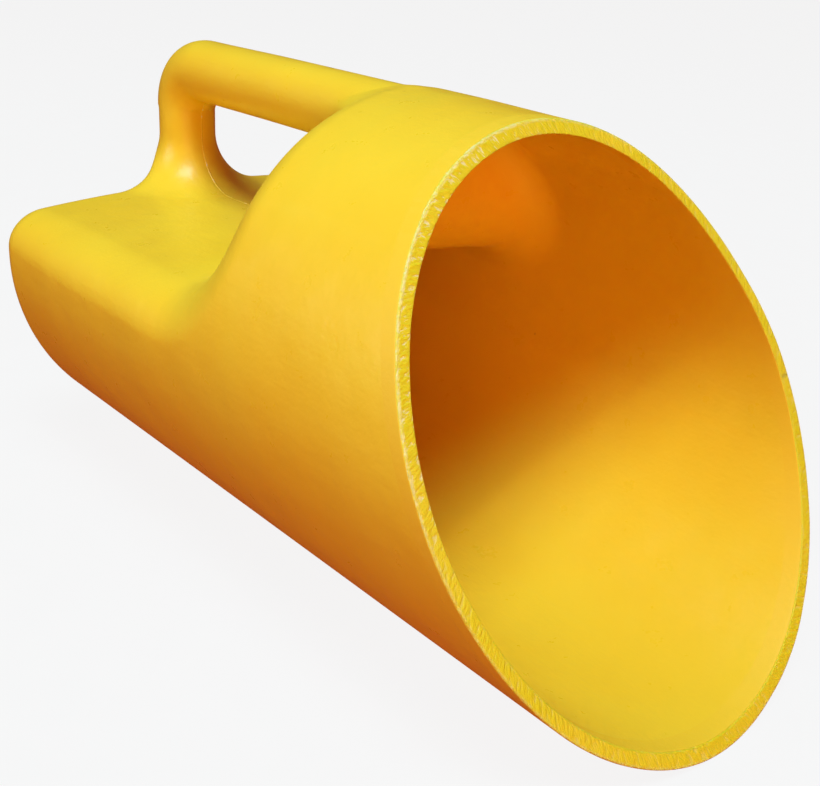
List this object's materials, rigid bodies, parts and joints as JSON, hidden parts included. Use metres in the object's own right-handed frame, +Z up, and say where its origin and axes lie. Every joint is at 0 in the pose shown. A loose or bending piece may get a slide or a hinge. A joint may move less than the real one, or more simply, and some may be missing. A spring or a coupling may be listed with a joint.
{
  "type": "feed scoop",
  "caption": "One-piece hollow plastic feed scoop: a round barrel with a slanted open mouth, a closed heel, a cut-down rear deck and a closed hand loop over it.",
  "frame": {"origin": "on the floor line under the barrel, half way between the heel face and the tip of the lower lip", "axes": "+X along the barrel's axis and out of the mouth, +Z up through the handle; Y is across, and the scoop is the same on both sides of y = 0"},
  "size_m": [0.243, 0.13, 0.1308],
  "materials": {
    "moulded_skin": "waxy semi-gloss moulded polyethylene",
    "trimmed_edge": "knife-trimmed polyethylene edge"
  },
  "bodies": {
    "root": {"mouth_lip": "trimmed_edge", "barrel": "moulded_skin", "shoulder": "moulded_skin", "trough": "moulded_skin", "deck": "moulded_skin", "heel": "moulded_skin", "handle_bar": "moulded_skin", "handle_elbow": "moulded_skin", "handle_post": "moulded_skin"}
  },
  "joints": []
}
